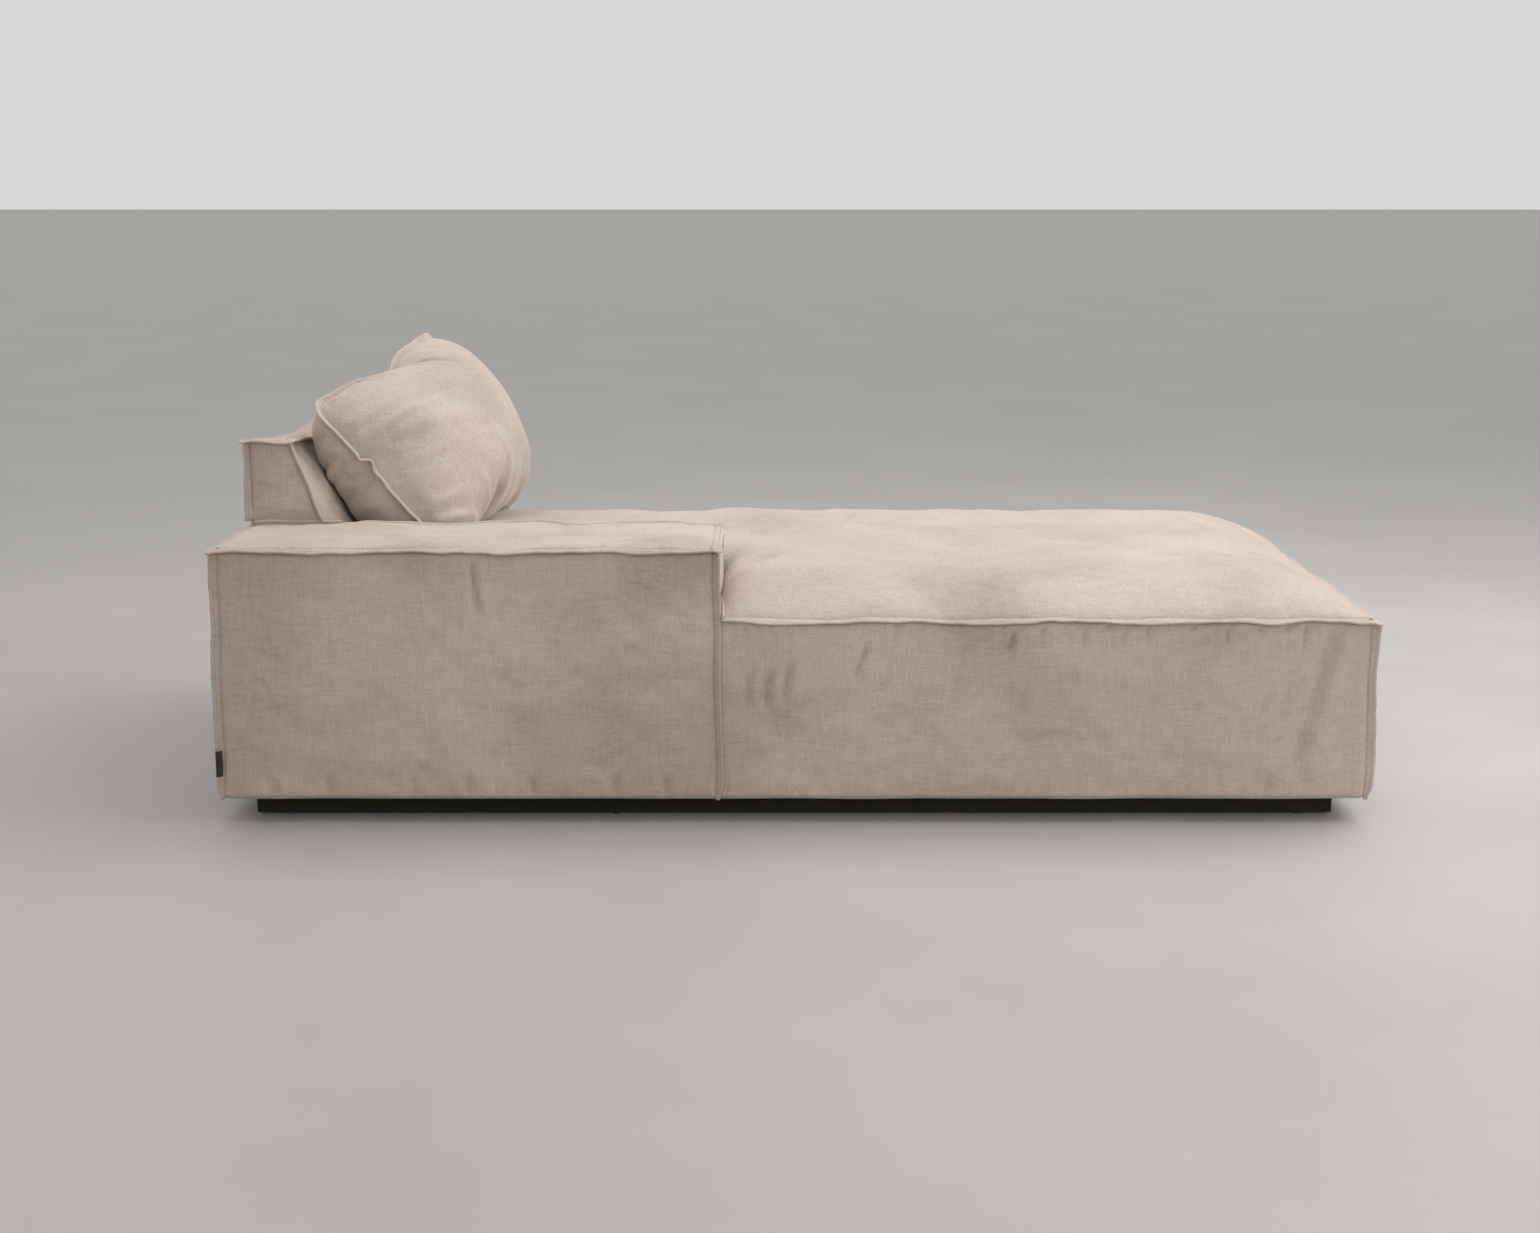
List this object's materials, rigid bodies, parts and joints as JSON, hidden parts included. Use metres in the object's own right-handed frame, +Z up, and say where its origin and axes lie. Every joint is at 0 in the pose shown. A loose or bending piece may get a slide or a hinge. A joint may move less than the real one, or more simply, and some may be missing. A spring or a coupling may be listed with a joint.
{
  "type": "daybed",
  "caption": "Upholstered velvet daybed with a low block arm, a wedge backrest, a long crowned seat on a recessed black plinth, flanged seams and a loose pillow.",
  "frame": {"origin": "on the floor under the middle of the upholstered body, flanges included", "axes": "+X from the head end with the backrest to the foot end, +Y from the arm side to the open side, +Z up"},
  "size_m": [2.224, 1.074, 0.867],
  "materials": {
    "velvet": "matte",
    "tag_ribbon": "matte",
    "dust_cloth": "matte",
    "felt": "matte",
    "webbing": "matte",
    "zinc_steel": "satin",
    "nylon": "matte",
    "plinth_paint": "satin",
    "fibre": "matte",
    "wadding": "matte",
    "foam": "matte",
    "hardboard": "matte",
    "plywood": "matte",
    "softwood": "matte"
  },
  "bodies": {
    "daybed": {"floor_glides": "nylon", "plinth_board_arm_side": "plinth_paint", "plinth_board_open_side": "plinth_paint", "plinth_board_head": "plinth_paint", "plinth_board_foot": "plinth_paint", "plinth_cross_boards": "plinth_paint", "plinth_corner_blocks": "softwood", "plinth_screws": "zinc_steel", "dust_cover": "dust_cloth", "deck_rail_arm_side": "softwood", "deck_rail_open_side": "softwood", "deck_rail_head": "softwood", "deck_rail_foot": "softwood", "deck_rail_under_arm": "softwood", "deck_rail_under_back": "softwood", "deck_rail_arm_front": "softwood", "deck_cross_rails": "softwood", "deck_corner_blocks": "softwood", "seat_webbing_cross": "webbing", "seat_webbing_long": "webbing", "seat_felt": "felt", "seat_foam_core": "foam", "seat_foam_topper": "foam", "seat_padding_arm_side": "wadding", "seat_padding_open_side": "wadding", "seat_padding_foot": "wadding", "seat_cover": "velvet", "arm_board_outer": "plywood", "arm_board_inner": "plywood", "arm_board_front": "plywood", "arm_board_rear": "plywood", "arm_board_top": "plywood", "arm_board_base": "plywood", "arm_padding_outer": "wadding", "arm_padding_inner": "wadding", "arm_padding_front": "wadding", "arm_padding_rear": "wadding", "arm_foam_top": "foam", "arm_cover": "velvet", "arm_screws": "zinc_steel", "back_side_arm": "plywood", "back_side_open": "plywood", "back_stile": "plywood", "back_top_rails": "softwood", "back_bottom_rails": "softwood", "back_board_rear": "hardboard", "back_webbing": "webbing", "back_foam_front": "foam", "back_foam_top": "foam", "back_padding_arm_side": "wadding", "back_padding_open_side": "wadding", "back_padding_rear": "wadding", "back_cover": "velvet", "back_screws": "zinc_steel", "side_tag": "tag_ribbon"},
    "pillow": {"pillow_filling": "fibre", "pillow_panel_front": "velvet", "pillow_panel_rear": "velvet"}
  },
  "joints": [
    {"name": "pillow_lift", "type": "slide", "parent": "daybed", "child": "pillow", "axis": [0, 0, 1], "range_m": [0, 0.45]}
  ]
}
